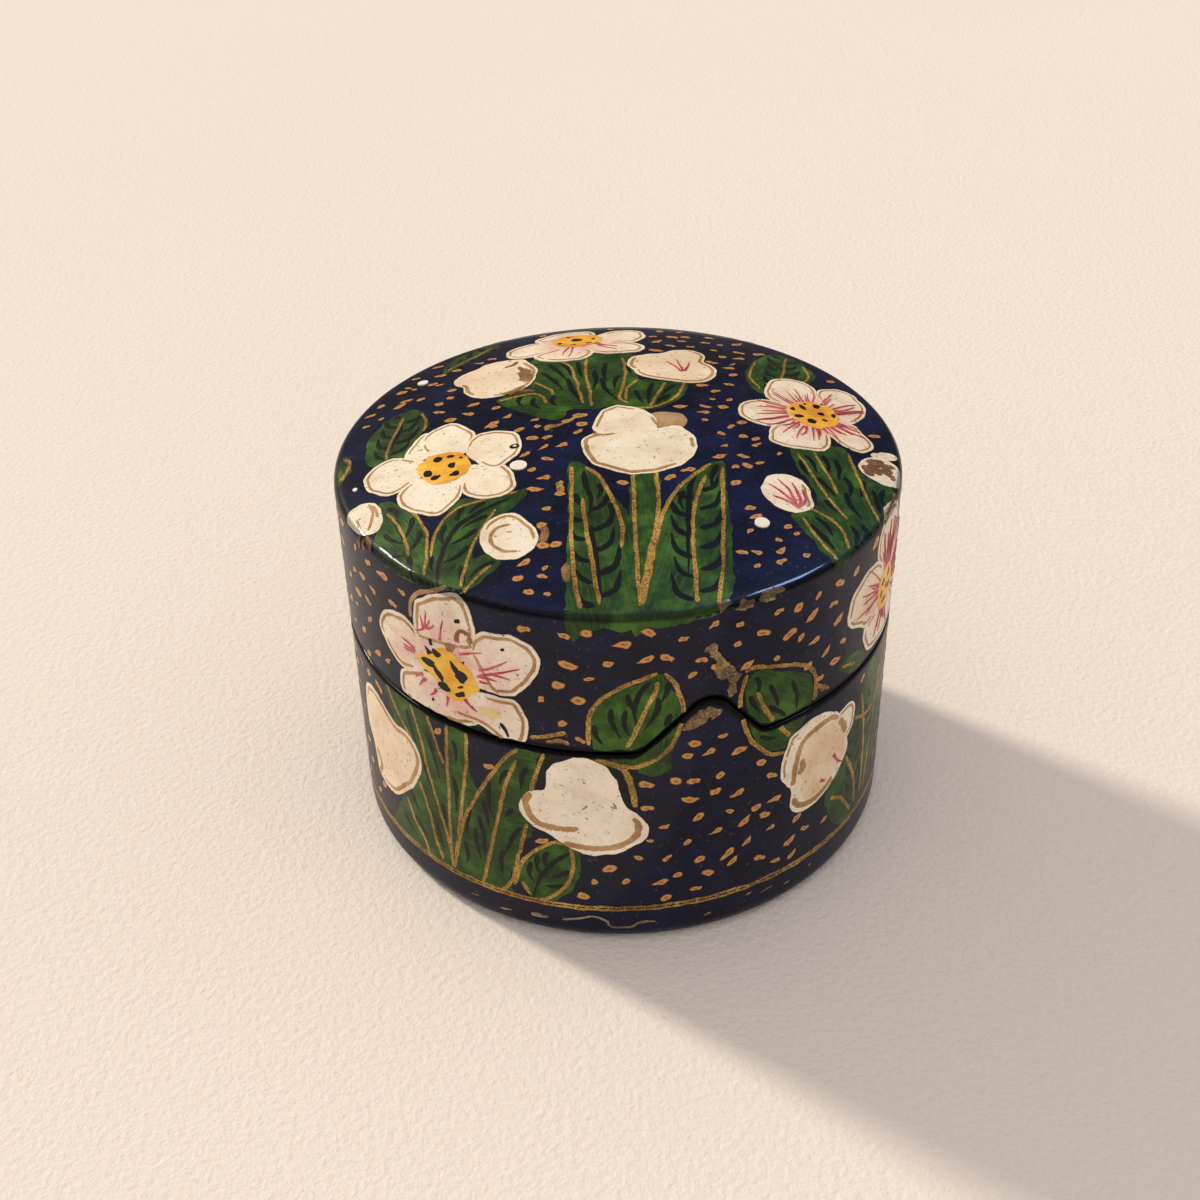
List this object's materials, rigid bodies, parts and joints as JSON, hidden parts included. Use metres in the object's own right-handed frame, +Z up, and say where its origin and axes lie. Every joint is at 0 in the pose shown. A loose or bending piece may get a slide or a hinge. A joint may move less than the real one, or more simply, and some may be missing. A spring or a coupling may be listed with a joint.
{
  "type": "lidded keepsake box",
  "caption": "Small round papier-mache keepsake box: low domed lift-off lid, level seam with a raised wave that lines the lid up, inner collar, rounded heel.",
  "frame": {"origin": "centre of the underside that the box rests on", "axes": "+Z up through the middle of the lid; the front, from which the wave is a little to the right, faces -Y"},
  "size_m": [0.08, 0.08, 0.0616],
  "materials": {
    "painted_lacquer": "gloss lacquer over midnight blue paint",
    "heel_lacquer": "gloss lacquer, rubbed at the heel",
    "black_lacquer": "satin black lacquer",
    "flower_paint": "off-white paint under lacquer",
    "leaf_paint": "green paint under lacquer",
    "gold_paint": "gold paint under lacquer",
    "detail_paint": "fine brush lines under lacquer"
  },
  "bodies": {
    "base": {"base_wall": "painted_lacquer", "base_floor": "heel_lacquer", "seat_collar": "black_lacquer"},
    "lid": {"lid_crown": "painted_lacquer", "lid_wall": "painted_lacquer"}
  },
  "joints": [
    {"name": "lid_lift", "type": "slide", "parent": "base", "child": "lid", "axis": [0, 0, 1], "range_m": [0, 0.04]}
  ]
}
